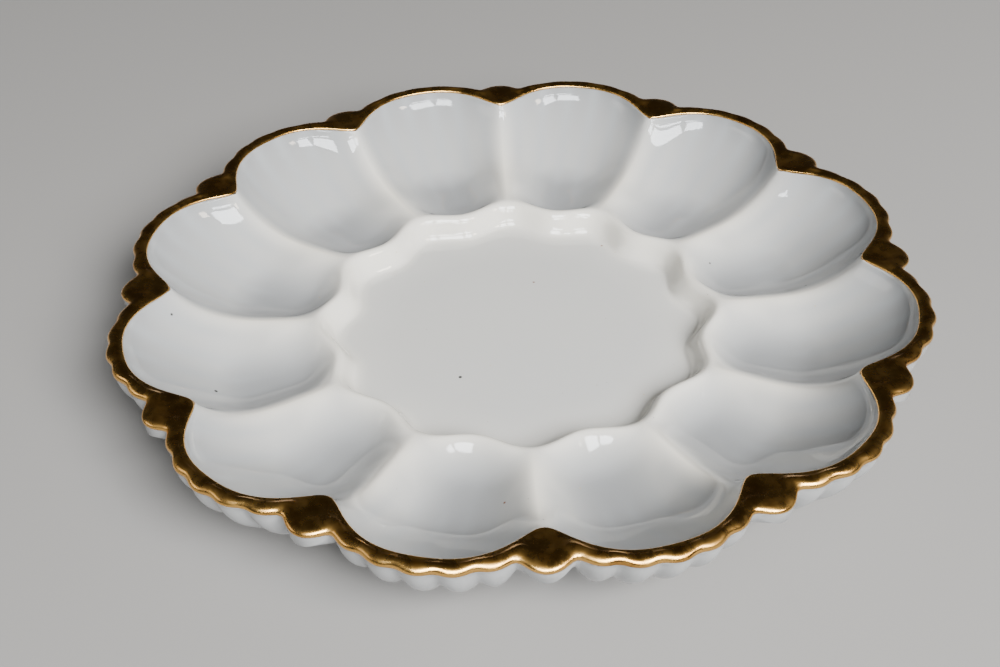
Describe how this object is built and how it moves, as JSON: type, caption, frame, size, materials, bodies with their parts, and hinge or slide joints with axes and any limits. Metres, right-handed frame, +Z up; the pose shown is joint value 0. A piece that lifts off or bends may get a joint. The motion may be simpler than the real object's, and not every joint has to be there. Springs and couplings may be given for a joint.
{
  "type": "egg plate",
  "caption": "Round pressed milk-glass egg plate with shell-shaped wells around a sunken flat centre and a fired gold band on its scalloped rim.",
  "frame": {"origin": "on the axis of the plate, at the level of the foot ring that it stands on", "axes": "+Z up out of the centre of the plate, +X through the middle of one well, +Y through the middle of the well a quarter turn on"},
  "size_m": [0.2478, 0.2478, 0.0314],
  "materials": {
    "milk_glass": "fire-polished opal glass, glossy, slightly cool white",
    "fired_gold": "bright fired gold lustre with an orange-peel surface, thin and slightly mottled"
  },
  "bodies": {
    "root": {"milk_glass_plate": "milk_glass", "gold_rim_band": "fired_gold"}
  },
  "joints": []
}
